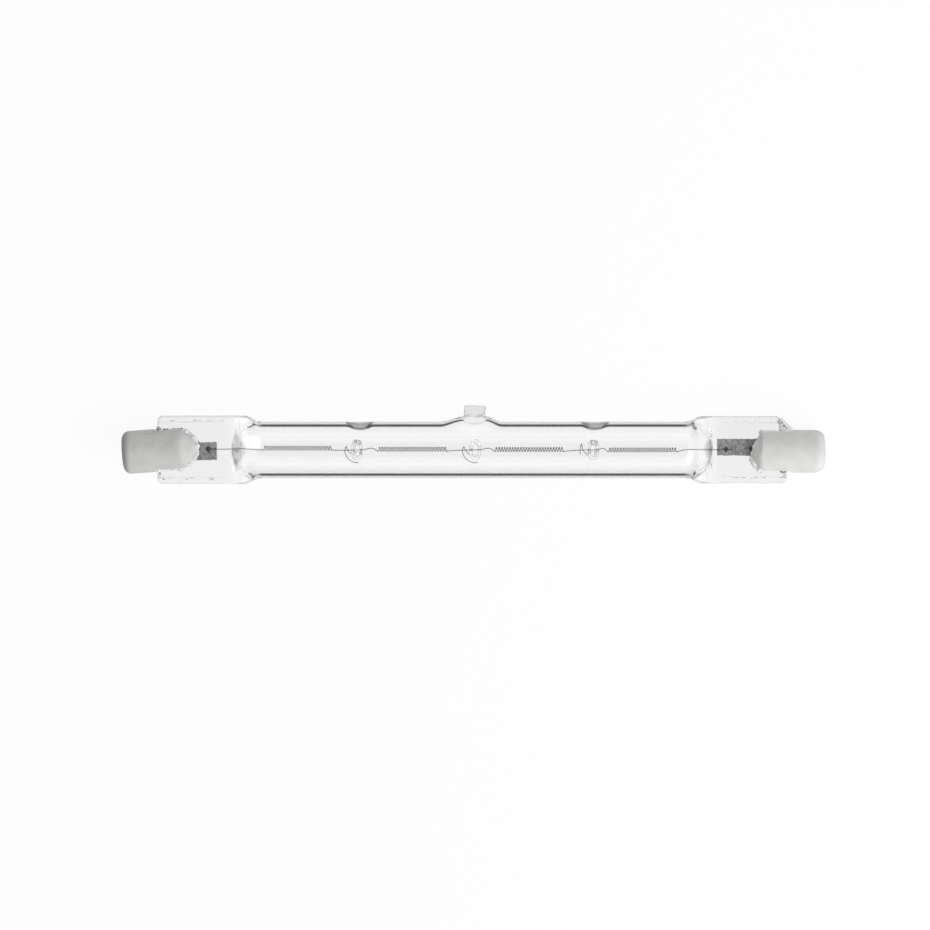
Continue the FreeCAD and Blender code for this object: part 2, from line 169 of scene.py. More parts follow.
# Hooks at the dimples: name, place, height of the peak and where the arc starts, in degrees.
# HOOK_PEAK is along X, share of the peak's height and Z, and HOOK_TAIL is X, Y and Z, both from the dimple.
HOOKS = (("left", SUPPORTS[0], 0.55, 275), ("middle", SUPPORTS[1], 0.5, 282), ("right", SUPPORTS[2], 1.0, 200))
HOOK_RADIUS = 2.14
HOOK_ARC_END = 184
HOOK_DEPTH = 0.17
HOOK_PEAK = [(-2.02, 0.55, 0.1), (-1.9, 1, 0.0), (-1.8, 0.75, -0.1)]
HOOK_TAIL = [(-1.68, 0.02, -0.17), (-1.2, -0.55, -0.17), (-0.82, -0.98, -0.15)]
HOOK_WIRE = 0.055
HOOK_STEP = 0.08

# Ceramic caps, along their own axis from the outer face
CAP_RADIUS = 3.6
CAP_LENGTH = 12.4
CAP_HEIGHT = {LEFT: -0.51, RIGHT: -0.24}
CAP_DROOP = 4.2
CAP_FACE = 0.03
CAP_END_LENGTH = {LEFT: 1.3, RIGHT: 1.7}
CAP_END_REACH = {LEFT: 1.35, RIGHT: 1.45}
CAP_SIDES = 96
CAP_OUTSIDE = 2.4
CAP_OUTSIDE_FADE = 0.6
CAP_WOBBLE = 0.012
CAP_WOBBLE_SIZE = 2.6
BARREL_START = 2.4
BARREL_STOP = 3.2
NOSE_START = 2.8
NOSE_LENGTH = {LEFT: 2.9, RIGHT: 2.1}
NOSE_DROP = {LEFT: 1.9, RIGHT: 1.6}
NOSE_POWER = {LEFT: 1.5, RIGHT: 1.7}
NOSE_EXTRA = 0.2
SLANT_START = 2.0
SLANT_RUN = 1.8
SLANT_DRAW = 0.35
SLANT_LEAN = 0.3
SLANT_FROM = 0.8
RECESS_RADIUS = 1.95
RECESS_DEPTH = 1.7
RECESS_LIP = ((0.18, 0), (0.06, 0.04), (0.02, 0.15))
SEAT_RADIUS = 1.5
SEAT_DEPTH = 2.7
SLOT_START = {LEFT: 5.55, RIGHT: 5.3}
SLOT_HALF_WIDTH = 1.6
SLOT_TOOL_LENGTH = 20
SLOT_TOOL_HEIGHT = 12

# Cement: slab and bead of each cheek, with pairs for the barrel and what the nose adds, fill, wedge and corner
CHEEK_START = 0.9
CHEEK_LEVEL = 1.4
CHEEK_POINTS = 46
CHEEK_OVERLAP = 0.02
CHEEK_SHY = 0.01
NOSE_POINTS = 9
BEAD_LEVEL = 1.38
BEAD_STEP = 0.09
BEAD_NOSE_START = 2.6
BEAD_NOSE_RUN = 0.8
BEAD_RADIUS = (0.08, 0.12)
SCALLOPS = (0.2, 0.3)
SCALLOP_SIZE = 0.5
FILL_HALF_WIDTH = 3.57
FILL_POINTS = 15
FILL_GAP = 0.01
FILL_SHY = 0.02
FILL_BEVEL = 0.15
WEDGE_HALF_DEPTH = 1.35
WEDGE_BEVEL = 0.3
WEDGE_LUMPS = 0.08
CORNER_BLOBS = {LEFT: ((-52.75, 3.6, 0), (0.35, 0.5, 0.9), 21), RIGHT: ((51.9, -3.7, 0), (0.5, 0.4, 0.8), 25)}
WEDGE_OUTLINE = [(51.15, 3.2), (51.1, 4.4), (51.2, 5.35), (51.6, 5.3), (52.2, 4.75), (52.8, 4.15),
                 (53.4, 3.5), (53.5, 3.15), (52.3, 3.0), (51.3, 3.05)]

# Small marks as (x, y, size): dark lumps at the cement's edge, painted shade in the left cap's pores, burnt weld
# spots
EDGE_DARK_LUMPS = {
    LEFT: [(-52.9, 3.42, 0.12), (-52.3, 3.5, 0.09), (-51.7, 3.45, 0.16), (-51.2, 3.5, 0.1), (-50.1, 3.62, 0.1),
           (-49.4, 3.55, 0.13), (-48.9, 3.6, 0.15), (-48.6, 3.45, 0.08), (-52.5, -3.9, 0.14), (-52.4, -4.15, 0.1),
           (-50.4, -3.35, 0.08), (-49.3, -3.4, 0.09), (-48.9, -3.5, 0.07), (-46.9, 1.9, 0.06)],
    RIGHT: [(48.2, 3.2, 0.12), (47.8, 2.9, 0.07), (47.9, -2.9, 0.1), (50.7, -3.35, 0.1), (51.3, -3.55, 0.2),
            (51.9, -3.65, 0.2), (50.2, -3.3, 0.07), (51.6, 4.5, 0.12), (51.9, 4.0, 0.14), (52.3, 3.7, 0.1),
            (47.2, 0.9, 0.09), (46.9, 0.4, 0.07)],
}
PORES = [(-54.62, 2.59, 0.12), (-54.32, 2.0, 0.09), (-53.5, 1.58, 0.1), (-52.3, 1.46, 0.08)]
WELD_SPOTS = {LEFT: [(-44.45, 0.13, 0.4)], RIGHT: [(42.28, 0.08, 0.32), (46.7, 0.2, 0.42)]}
EDGE_LUMP_LEVEL = 1.45
EDGE_LUMP_HALF_DEPTH = 0.12
PORE_SINK = 0.02
PORE_HALF_DEPTH = 0.05
WELD_LEVEL = 0.02
WELD_HALF_SIZE = (0.4, 0.07)

# Foils as (start, end, low, high)
FOIL_EDGES = {LEFT: (-51.0, -43.0, -1.71, 1.29), RIGHT: (40.7, 48.7, -0.97, 1.83)}
FOIL_GRID = (120, 36)
FOIL_DEPTH = -0.06
FOIL_RIPPLE = 0.05
FOIL_HALF_THICKNESS = 0.012
FOIL_RAGGED = 0.12

# Dimples' ovals as the glass shader clears them, half length and half height
CLEAR_OVAL = (0.95, 1.75)

# Painted shade and painted reflection on the glass, for the dim surroundings that steep glass shows, as (place,
# tone) stops against how steeply the skin is looked at; the lines are painted dark lines
GLASS_IOR = 1.46
BORE_PAINTED_SHADE = [(0.0, 0.85), (0.012, 0.86), (0.024, 0.94), (0.038, 1.0), (0.09, 1.0), (0.115, 0.92), (0.19, 0.77),
             (0.23, 0.68)]
WIDE_LINE = [(0.222, 0.0), (0.246, 0.7), (0.256, 1.0), (0.287, 1.0), (0.3, 0.5), (0.314, 0.0)]
THIN_LINE = [(0.256, 0.0), (0.264, 0.95), (0.272, 0.95), (0.28, 0.0)]
OUTER_PAINTED_SHADE = [(0.0, 1.0), (0.5, 1.0), (0.56, 0.48), (1.0, 0.42)]
PIP_PAINTED_SHADE = [(0.0, 0.9), (0.4, 0.89), (0.65, 0.77), (0.9, 0.58), (1.0, 0.54)]

# The photograph's frame, in pixels and pixels per millimetre, and the stage in metres and watts
PHOTO_SIDE = 930
PHOTO_SCALE = 5.968
PHOTO_CENTRE = (473.6, 449.84)
CAMERA_DISTANCE = 0.7
SENSOR = 0.036
FLOOR_HALF_SIDE = 2
FLOOR_TONE = 0.93
WORLD_STRENGTH = 0.47
KEY_PLACE = (0.26, -0.08, 0.28)
KEY_SIZE = 0.45
KEY_POWER = 1.3


def lying_angle():
    """Turn about X at which the solid lamp lies on its tube and on the pip's rim."""
    tube_radius = 4.75
    rim_centre = (7.05, 1.43)
    return math.asin((tube_radius - PIP_RIM) / math.hypot(*rim_centre)) - math.atan2(rim_centre[1], rim_centre[0])


LIE = lying_angle()
UP = Vector((0, math.cos(LIE), -math.sin(LIE)))
TOWARDS = Vector((0, math.sin(LIE), math.cos(LIE)))


def laid(points):
    """Points of the lamp frame in millimetres, carried to the row frame in metres."""
    x, y, z = np.asarray(points, float).T
    cos, sin = math.cos(LIE), math.sin(LIE)
    return MM * np.stack([x, y * cos + z * sin, -y * sin + z * cos], 1)


def soft(share):
    """Smooth step, level below 0 and above 1."""
    share = np.clip(share, 0, 1)
    return (3 - 2 * share) * share ** 2


def lumps(points, size, seed):
    """Smooth noise at points, about -0.5 to 0.5, with lumps of a given size."""
    shift = Vector((seed * 7.3, seed * 3.1, seed * 5.7))
    return np.array([noise.noise(Vector(point) / size + shift) for point in points])


# Meshes

def new_piece(name, points, faces, sharp=None, normals=None):
    """Smooth piece. Points whose given normal isn't zero are shaded by it."""
    mesh = bpy.data.meshes.new(name)
    mesh.from_pydata(laid(points).tolist(), [], faces)
    mesh.validate()
    mesh.polygons.foreach_set("use_smooth", [True] * len(mesh.polygons))
    if sharp:
        mesh.set_sharp_from_angle(angle=math.radians(sharp))
    if normals is not None:
        mesh.normals_split_custom_set_from_vertices((laid(normals) / MM).tolist())
    piece = bpy.data.objects.new(name, mesh)
    bpy.context.scene.collection.objects.link(piece)
    return piece


def joined(parts):
    """One list of points and faces from several closed skins."""
    points, faces = [], []
    for some_points, some_faces in parts:
        first = len(points)
        points += [tuple(point) for point in some_points]
        faces += [tuple(first + corner for corner in face) for face in some_faces]
    return points, faces


def skin(rings, inward=False):
    """Faces of a closed skin through rings of points, with a fan over each end."""
    rows, columns = rings.shape[:2]
    faces = []
    for row in range(rows - 1):
        low = row * columns
        high = low + columns
        for column in range(columns):
            beside = (column + 1) % columns
            faces.append((low + column, low + beside, high + beside, high + column))
    centres = [rings[0].mean(0), rings[-1].mean(0)]
    first = rows * columns
    last = (rows - 1) * columns
    for column in range(columns):
        beside = (column + 1) % columns
        faces.append((first, beside, column))
        faces.append((first + 1, last + column, last + beside))
    points = np.concatenate([rings.reshape(-1, 3), centres])
    if inward:
        faces = [face[::-1] for face in faces]
    return points, faces


def wire(path, radius, sides=8):
    """Round wire through points, of one radius or one for each point, carried along without twist."""
    path = np.asarray(path, float)
    radii = np.broadcast_to(radius, len(path))
    run = np.gradient(path, axis=0)
    run /= np.linalg.norm(run, axis=1)[:, None]
    turn = 2 * math.pi * np.arange(sides)[:, None] / sides
    side = np.array([0.0, 0.0, 1.0])
    rings = []
    for point, way, radius in zip(path, run, radii):
        side = side - way * side.dot(way)
        side /= np.linalg.norm(side)
        up = np.cross(way, side)
        rings.append(point + radius * (np.cos(turn) * side + np.sin(turn) * up))
    return skin(np.array(rings))


def smooth_path(points, step=0.25):
    """Even points on a smooth line through a few given ones."""
    points = np.asarray(points, float)
    length = np.concatenate([[0], np.cumsum(np.linalg.norm(np.diff(points, axis=0), axis=1))])
    slope = np.gradient(points, length, axis=0)
    fine = np.linspace(0, length[-1], max(2, int(length[-1] / step)))
    out = []
    for at in fine:
        k = min(np.searchsorted(length, at, side="right") - 1, len(points) - 2)
        span = length[k + 1] - length[k]
        s = (at - length[k]) / span
        near = (2 * s ** 3 - 3 * s ** 2 + 1) * points[k] + (s ** 3 - 2 * s ** 2 + s) * span * slope[k]
        out.append(near + (3 * s ** 2 - 2 * s ** 3) * points[k + 1] + (s ** 3 - s ** 2) * span * slope[k + 1])
    return np.array(out)


def blob(centre, size, seed, rough=0.35, detail=2):
    """Small lump of a given half size in X, Y and Z, in the lamp frame."""
    ball = bmesh.new()
    bmesh.ops.create_icosphere(ball, subdivisions=detail, radius=1)
    points = np.array([vertex.co for vertex in ball.verts])
    faces = [tuple(vertex.index for vertex in face.verts) for face in ball.faces]
    ball.free()
    points *= (1 + rough * lumps(points, 0.7, seed))[:, None]
    return points * np.array(size) + np.array(centre), faces


def bar(outline, half_depth, bevel):
    """Upright bar on an outline in X and Y, with its edges eased."""
    middle = outline.mean(0)
    rings = []
    for level, share in ((-half_depth, 1), (bevel - half_depth, 0), (half_depth - bevel, 0), (half_depth, 1)):
        away = outline - middle
        ring = middle + away * (1 - share * bevel / np.linalg.norm(away, axis=1).mean())
        rings.append(np.column_stack([ring, np.full(len(ring), level)]))
    return skin(np.array(rings))


# Quartz

def stations(spans):
    """Places along X from (start, end, step) spans, joined without doubles."""
    places = [spans[0][0]]
    for start, end, step in spans:
        count = max(1, round((end - start) / step))
        places += [start + (end - start) * (k + 1) / count for k in range(count)]
    return np.array(places)


def turn_angles():
    """Angles round the section, denser towards the pip and square to the seals."""
    def density(angle):
        value = 1.0
        for centre, width, gain in CROWDS:
            away = abs((angle - centre + math.pi) % (2 * math.pi) - math.pi)
            value += gain / (1 + math.exp((away - width) / CROWD_EDGE))
        return value
    fine = np.linspace(-math.pi, math.pi, 4001)
    weight = np.cumsum([density(angle) for angle in fine])
    weight = (weight - weight[0]) / (weight[-1] - weight[0])
    return np.interp(np.arange(RING_POINTS) / RING_POINTS, weight, fine)


def section(x, angles, half_width, half_depth, squareness):
    """Ring at a place along X: an ellipse at squareness 2, ever closer to a rectangle above it."""
    cos, sin = np.cos(angles), np.sin(angles)
    y = half_width * np.sign(cos) * np.abs(cos) ** (2 / squareness)
    z = half_depth * np.sign(sin) * np.abs(sin) ** (2 / squareness)
    return np.stack([np.full_like(y, x), y, z], 1)


def swell(x):
    """Rise of the wall towards the pip."""
    left = soft((x - (PIP_X - SWELL_LEFT)) / (SWELL_LEFT - PIP_RADIUS))
    right = soft(((PIP_X + SWELL_RIGHT) - x) / (SWELL_RIGHT - PIP_RADIUS))
    return SWELL_RISE * left * right


def pit_depth(x, y, half_length, half_height, floor_share, depth):
    """Depth of a dimple, a rounded oval with a flat floor, at points x, y off its middle."""
    away = (np.abs(x / half_length) ** 3 + np.abs(y / half_height) ** 3) ** (1 / 3)
    return depth * (1 - soft((away - floor_share) / (1 - floor_share)))


def shape_tube(rings, dimple):
    """Move the rings' points to the swelling under the pip and into the dimples."""
    x, y, z = rings[..., 0], rings[..., 1], rings[..., 2]
    turn = np.arctan2(z, y)
    rise = swell(x) * (1 - soft(np.abs(turn) / SWELL_HALF_ANGLE))
    rings[..., 1] += rise * np.cos(turn)
    rings[..., 2] += rise * np.sin(turn)
    for support in SUPPORTS:
        rings[..., 2] -= np.sign(z) * pit_depth(x - support, y, *dimple)


def roughen_rails(ring, along, half_width):
    """Press lumps into the seal's rails, inward only."""
    y, z = ring[:, 1], ring[:, 2]
    rough = soft((along - SHOULDER_LENGTH) / ROUGH_RUN_IN)
    rough = rough * soft((np.abs(y) - half_width + ROUGH_WIDTH) / ROUGH_EDGE)
    ring[:, 2] -= ROUGH_DEPTH_ON_FACE * rough * np.abs(lumps(ring * (1, 0.5, 0.2), 0.5, 1)) * np.sign(z)
    ring[:, 1] -= ROUGH_DEPTH_ON_SIDE * rough * np.abs(lumps(ring * (1, 0.3, 0.2), 0.8, 2)) * np.sign(y)


def outer_rings(angles):
    """Outside of the quartz from seal to seal, and its normals at the pip."""
    rings = []
    for x in stations(OUTER_SPANS):
        side = LEFT if x < 0 else RIGHT
        along = abs(x) - TUBE_END[side]
        wide = soft(along / FLARE_LENGTH)
        flat = soft(along / SHOULDER_LENGTH)
        half_width = TUBE_RADIUS + wide * (SEAL_HALF_WIDTH[side] - TUBE_RADIUS)
        half_depth = TUBE_RADIUS + flat * (SEAL_HALF_DEPTH - TUBE_RADIUS)
        squareness = 2 + (SEAL_SQUARENESS - 2) * np.clip(along / SHOULDER_LENGTH, 0, 1) ** 3
        rest = (SEAL_END[side] - abs(x)) / SEAL_CORNER
        if rest < 1:
            rounding = 1 - math.sqrt(max(0, 1 - (1 - rest) ** 2))
            half_width -= SEAL_CORNER * rounding
            half_depth -= SEAL_EDGE * rounding
        ring = section(x, angles, half_width, half_depth, squareness)
        y, z = ring[:, 1], ring[:, 2]
        inside = soft((half_width - RAIL_WIDTH - np.abs(y)) / RAIL_SLOPE + 0.5)
        sink = (SEAL_HALF_DEPTH - WEB_HALF_DEPTH) * inside * soft((along - SHOULDER_LENGTH) / WEB_RUN_IN)
        ring[:, 2] = np.sign(z) * np.maximum(np.abs(z) - sink, 0)
        end = soft((abs(x) - SEAL_END[side] + SEAL_SLANT_REACH) / SEAL_SLANT_REACH)
        ring[:, 0] -= SEAL_SLANT[side] * end * y / SEAL_HALF_WIDTH[side]
        if along > SHOULDER_LENGTH:
            roughen_rails(ring, along, half_width)
        rings.append(ring)
    rings = np.array(rings)
    shape_tube(rings, OUTER_DIMPLE)
    normals = raise_pip(rings)
    return rings, normals


def pip_profile():
    """Radius and height of the pip from the middle of its top out to its foot."""
    radius = [place for place, _ in PIP_DISH] + [PIP_RADIUS - PIP_RIM]
    height = [PIP_TOP - drop for _, drop in PIP_DISH] + [PIP_TOP]
    for turn in np.linspace(75, -10, 7):
        radius.append(PIP_RADIUS - PIP_RIM + PIP_RIM * math.cos(math.radians(turn)))
        height.append(PIP_TOP - PIP_RIM + PIP_RIM * math.sin(math.radians(turn)))
    for level in PIP_WAIST_LEVELS:
        radius.append(PIP_RADIUS - PIP_WAIST)
        height.append(level)
    for turn in np.linspace(10, 80, 6):
        radius.append(PIP_RADIUS - PIP_WAIST + PIP_FOOT_REACH * (1 - math.cos(math.radians(turn))))
        height.append(PIP_WAIST_LEVELS[-1] - PIP_FOOT_DROP * math.sin(math.radians(turn)))
    radius.append(PIP_LAND)
    height.append(0)
    return np.array(radius), np.array(height)


def raise_pip(rings):
    """Draw the points round the pip's axis up along its profile, and give the normals there."""
    radius, height = pip_profile()
    x = rings[..., 0] - PIP_X
    z = rings[..., 2]
    away = np.hypot(x, z)
    away_or_more = np.maximum(away, 1e-9)
    near = (away < PIP_LAND) & (rings[..., 1] > PIP_BASE_LEVEL)
    run = np.hypot(np.diff(radius[:-1]), np.diff(height[:-1]))
    share = np.concatenate([[0], np.cumsum(run)])
    share *= PIP_LAND_SHARE * PIP_LAND / share[-1]
    foot = share[-1]
    level = np.interp(away, share, height[:-1])
    level = level + (rings[..., 1] - level) * soft(np.clip((away - foot) / (PIP_LAND - foot), 0, 1))
    out = np.interp(away, np.append(share, PIP_LAND), radius)
    scale = np.where(away > 1e-9, out / away_or_more, 1)
    rings[..., 0] = np.where(near, PIP_X + x * scale, rings[..., 0])
    rings[..., 2] = np.where(near, z * scale, rings[..., 2])
    rings[..., 1] = np.where(near, level, rings[..., 1])

    on_pip = away < foot
    turn_out = np.interp(away, share, np.gradient(radius[:-1], share))
    turn_up = np.interp(away, share, np.gradient(height[:-1], share))
    spoke = np.stack([x, rings[..., 2]], -1) / away_or_more[..., None]
    normals = np.stack([-turn_up * spoke[..., 0], turn_out, -turn_up * spoke[..., 1]], -1)
    normals /= np.maximum(np.linalg.norm(normals, axis=-1), 1e-9)[..., None]
    normals *= (near & on_pip)[..., None]
    folded = near & (level > FOLD_LEVELS[0]) & (level < FOLD_LEVELS[1])
    fold = soft((level[folded] - FOLD_LEVELS[0]) / FOLD_FADES[0])
    fold = (fold * soft((FOLD_LEVELS[1] - level[folded]) / FOLD_FADES[1]))[:, None]
    creases = [lumps(rings[folded], FOLD_SIZE, seed) for seed in FOLD_SEEDS]
    normals[folded] += FOLD_STRENGTH * fold * np.stack(creases, -1) * on_pip[folded][:, None]

    lean = soft((level - LEAN_LEVEL) / LEAN_HEIGHT) * near
    rings[..., 0] += LEAN_OUT * lean * soft((x * scale) / LEAN_OUT_RUN)
    rings[..., 1] -= LEAN_DOWN * lean * soft((x * scale + LEAN_DOWN_START) / LEAN_DOWN_RUN)
    return normals


def inner_rings(angles):
    """Wall of the cavity, with its domes, the dimples' insides and the bulges."""
    rings = []
    for x in stations(INNER_SPANS):
        side = LEFT if x < 0 else RIGHT
        along = abs(x) - TUBE_END[side]
        dome_start = CAVITY_END[side] - CAVITY_DOME - TUBE_END[side]
        half_width = BORE_RADIUS + CAVITY_FLARE * soft(along / FLARE_LENGTH)
        closing = soft(along / (CAVITY_OVERRUN * dome_start))
        half_depth = BORE_RADIUS + closing * (CAVITY_DOME_DEPTH - BORE_RADIUS)
        dome = (along - dome_start) / CAVITY_DOME
        if dome > 0:
            half_depth *= math.sqrt(max(0, 1 - dome ** 2)) + DOME_LEAST
            half_width *= 1 - DOME_NARROWING * dome ** 2
        rings.append(section(x, angles, half_width, half_depth, 2))
    rings = np.array(rings)
    bow = CAVITY_BOW * (rings[..., 1] / CAVITY_BOW_HALF_WIDTH) ** 2
    for side in (LEFT, RIGHT):
        end = soft((side * rings[..., 0] - TUBE_END[side]) / (CAVITY_END[side] - TUBE_END[side]))
        rings[..., 0] -= side * bow * end
    shape_tube(rings, INNER_DIMPLE)
    x, y, z = rings[..., 0], rings[..., 1], rings[..., 2]
    for place in BULGES:
        away = np.clip(np.hypot(x - place, z) / BULGE_HALF_LENGTH, 0, 1)
        rings[..., 1] -= BULGE_DEPTH * (1 - away ** 2) * (y > 0)
    return rings


# Filament and hooks

def coil(centre, height):
    """One coiled section: its path, and the wire's radius, full where a turn goes over and thin between."""
    turn = 2 * math.pi * np.arange(COIL_TURNS * CHORDS + 1) / CHORDS
    along = centre + COIL_LENGTH * (turn / turn[-1] - 0.5)
    path = np.stack([along, height - COIL_RADIUS * np.cos(turn), COIL_RADIUS * np.sin(turn)], 1)
    full = np.where(np.cos(turn) > 0, TURN_RADII[1], TURN_RADII[2])
    return path, TURN_RADII[0] + (full - TURN_RADII[0]) * np.cos(turn) ** 4


def filament_path():
    """Places along the whole wire and its radius at each."""
    path = [smooth_path(LEFT_LEG)]
    radii = [np.full(len(path[0]), STRAND_RADIUS)]
    for number, (centre, height) in enumerate(zip(COIL_CENTRES, COIL_HEIGHTS)):
        turns, turn_radii = coil(centre, height)
        path.append(turns)
        radii.append(turn_radii)
        leg = RIGHT_LEG
        if number < len(SUPPORTS):
            x = SUPPORTS[number]
            next_start = COIL_CENTRES[number + 1] - COIL_LENGTH / 2
            low = COIL_HEIGHTS[number + 1] - COIL_RADIUS
            leg = [(x + LEG_SAG[0], LEG_SAG[1], 0), (x, 0, 0), (x + LEG_PAST_DIMPLE, 0, 0),
                   (next_start + LEG_HUMP[0], LEG_HUMP[1], 0), (next_start - LEG_END_GAP, low, 0)]
        path.append(smooth_path([turns[-1]] + leg)[1:])
        radii.append(np.full(len(path[-1]), STRAND_RADIUS))
    return np.concatenate(path), np.concatenate(radii)


def support_wire(x, peak, arc_start):
    """Hook beside a dimple: an arc from its lower side up to the leg, a peak over it and a short tail."""
    points = []
    for turn in np.radians(np.linspace(arc_start, HOOK_ARC_END, 12)):
        points.append((x + HOOK_RADIUS * math.cos(turn), HOOK_RADIUS * math.sin(turn), HOOK_DEPTH))
    points += [(x + along, share * peak, z) for along, share, z in HOOK_PEAK]
    points += [(x + along, y, z) for along, y, z in HOOK_TAIL]
    return wire(smooth_path(points, HOOK_STEP), HOOK_WIRE)


# Caps

def turned(profile, sides):
    """Rings about X through places along it and radii."""
    angles = 2 * math.pi * np.arange(sides) / sides
    return np.array([[(along, radius * math.cos(angle), radius * math.sin(angle)) for angle in angles]
                     for along, radius in profile])


def nose_radius(side, along):
    """Radius of the cap along its barrel and its rounded nose."""
    share = np.clip((along - CAP_LENGTH - NOSE_EXTRA + NOSE_LENGTH[side]) / NOSE_LENGTH[side], 0, 1)
    return CAP_RADIUS - NOSE_DROP[side] * share ** NOSE_POWER[side]


def slanted(side, points):
    """Draw the right nose back, most on the pip's side, in the cap's own frame."""
    if side == RIGHT:
        on_nose = soft((points[:, 0] - CAP_LENGTH + SLANT_START) / SLANT_RUN)
        points[:, 0] -= on_nose * (SLANT_DRAW + SLANT_LEAN * np.maximum(0, SLANT_FROM - points[:, 1]))
    return points


def cap_profile(side):
    """Places along the cap from its outer face, and radii: seat, recess, rounded end, barrel, nose."""
    profile = [(SEAT_DEPTH, SEAT_RADIUS), (RECESS_DEPTH, SEAT_RADIUS), (RECESS_DEPTH, RECESS_RADIUS)]
    profile += [(along, RECESS_RADIUS + out) for along, out in RECESS_LIP]
    for turn in np.radians(np.linspace(82, 0, 9)):
        radius = CAP_RADIUS - CAP_END_REACH[side] * (1 - math.cos(turn))
        profile.append((CAP_FACE + CAP_END_LENGTH[side] * (1 - math.sin(turn)), radius))
    for along in np.linspace(BARREL_START, CAP_LENGTH - BARREL_STOP, 9):
        profile.append((along, CAP_RADIUS))
    for along in np.linspace(CAP_LENGTH - NOSE_START, CAP_LENGTH + NOSE_EXTRA, 13):
        profile.append((along, float(nose_radius(side, along))))
    return profile


def slotted(points, faces, start):
    """Cut the slot for the seal out of a cap, in the cap's own frame."""
    body = bpy.data.meshes.new("body")
    body.from_pydata([tuple(point) for point in points], [], faces)
    box = bmesh.new()
    bmesh.ops.create_cube(box, size=1)
    for vertex in box.verts:
        x, y, z = vertex.co
        vertex.co = (start + (x + 0.5) * SLOT_TOOL_LENGTH, SLOT_TOOL_HEIGHT * y, 2 * SLOT_HALF_WIDTH * z)
    tool = bpy.data.meshes.new("tool")
    box.to_mesh(tool)
    box.free()
    things = [bpy.data.objects.new(mesh.name, mesh) for mesh in (body, tool)]
    for thing in things:
        bpy.context.scene.collection.objects.link(thing)
    cut = things[0].modifiers.new("slot", "BOOLEAN")
    cut.operation = "DIFFERENCE"
    cut.solver = "EXACT"
    cut.object = things[1]
    scene_state = bpy.context.evaluated_depsgraph_get()
    mesh = bpy.data.meshes.new_from_object(things[0].evaluated_get(scene_state))
    points = np.array([vertex.co for vertex in mesh.vertices])
    faces = [tuple(face.vertices) for face in mesh.polygons]
    for thing in things:
        bpy.data.objects.remove(thing)
    for spare in (body, tool, mesh):
        bpy.data.meshes.remove(spare)
    return points, faces


def place_cap(points, side):
    """Carry points from the cap's own frame, outer face at the origin, to their end of the lamp."""
    x, y, z = np.asarray(points, float).T
    turn = math.radians(CAP_DROOP) if side == LEFT else math.pi
    along = x * math.cos(turn) - y * math.sin(turn) + side * LAMP_END
    return np.stack([along, x * math.sin(turn) + y * math.cos(turn) + CAP_HEIGHT[side], z], 1)


def cap_axis(side, x):
    """Height of a cap's axis at a place along the lamp."""
    droop = math.tan(math.radians(CAP_DROOP)) if side == LEFT else 0.0
    return CAP_HEIGHT[side] + (LAMP_END + x) * droop


def cap(side):
    """Ceramic cap with a slightly uneven outside."""
    rings = turned(cap_profile(side), CAP_SIDES)
    points = rings.reshape(-1, 3)
    outside = soft((np.hypot(points[:, 1], points[:, 2]) - CAP_OUTSIDE) / CAP_OUTSIDE_FADE)
    points[:, 1:] *= (1 + CAP_WOBBLE * outside * lumps(points, CAP_WOBBLE_SIZE, 3 + side))[:, None]
    points, faces = skin(slanted(side, points).reshape(rings.shape))
    points, faces = slotted(points, faces, SLOT_START[side])
    return place_cap(points, side), faces


# Cement and small marks

def cap_outline(side, level):
    """Outline of a cap's cheek where it stands on the seal, from barrel to nose and back."""
    along = np.linspace(SLOT_START[side] + CHEEK_START, CAP_LENGTH + NOSE_EXTRA, CHEEK_POINTS)
    half = np.sqrt(np.maximum(nose_radius(side, along) ** 2 - level ** 2, 0.04))
    upper = np.stack([along, half], 1)
    across = np.linspace(half[-1], -half[-1], NOSE_POINTS)[1:-1]
    nose = np.stack([np.full_like(across, along[-1]), across], 1)
    return slanted(side, np.concatenate([upper, nose, upper[::-1] * (1, -1)]))


def at_level(outline, level):
    """Points of a flat outline lifted to one level."""
    return np.column_stack([outline, np.full(len(outline), level)])


def cement(side):
    """Cement in the slot, in lumps along the edge of both cheeks, and in the corner by the seal."""
    parts = []
    for face in (-1, 1):
        outline = cap_outline(side, CHEEK_LEVEL)
        inner = at_level(outline, face * (WEB_HALF_DEPTH + CHEEK_OVERLAP))
        outer = at_level(outline, face * (SLOT_HALF_WIDTH - CHEEK_SHY))
        slab, slab_faces = skin(np.array([inner, outer]), inward=face > 0)
        parts.append((place_cap(slab, side), slab_faces))
        edge = smooth_path(at_level(outline, face * BEAD_LEVEL), BEAD_STEP)
        on_nose = soft((edge[:, 0] - CAP_LENGTH + BEAD_NOSE_START) / BEAD_NOSE_RUN)
        scallops = (SCALLOPS[0] + SCALLOPS[1] * on_nose) * np.abs(lumps(edge, SCALLOP_SIZE, 11 + face + 5 * side))
        bead, bead_faces = wire(edge, BEAD_RADIUS[0] + BEAD_RADIUS[1] * on_nose + scallops)
        parts.append((place_cap(bead, side), bead_faces))
    parts.append(slot_fill(side))
    if side == RIGHT:
        parts.append(wedge())
    parts.append(blob(*CORNER_BLOBS[side]))
    return joined(parts)


def slot_fill(side):
    """Cement that fills the slot from its bottom to the end of the seal."""
    across = np.linspace(-FILL_HALF_WIDTH, FILL_HALF_WIDTH, FILL_POINTS)
    across = cap_axis(side, side * SEAL_END[side]) + across
    lean = SEAL_SLANT[side] * across / SEAL_HALF_WIDTH[side]
    near = SEAL_END[side] - lean + FILL_GAP
    far = np.full(FILL_POINTS, LAMP_END - SLOT_START[side] - FILL_SHY)
    outline = np.concatenate([np.stack([far, across], 1), np.stack([near, across], 1)[::-1]]) * (side, 1)
    return bar(outline, SEAL_HALF_DEPTH, FILL_BEVEL)


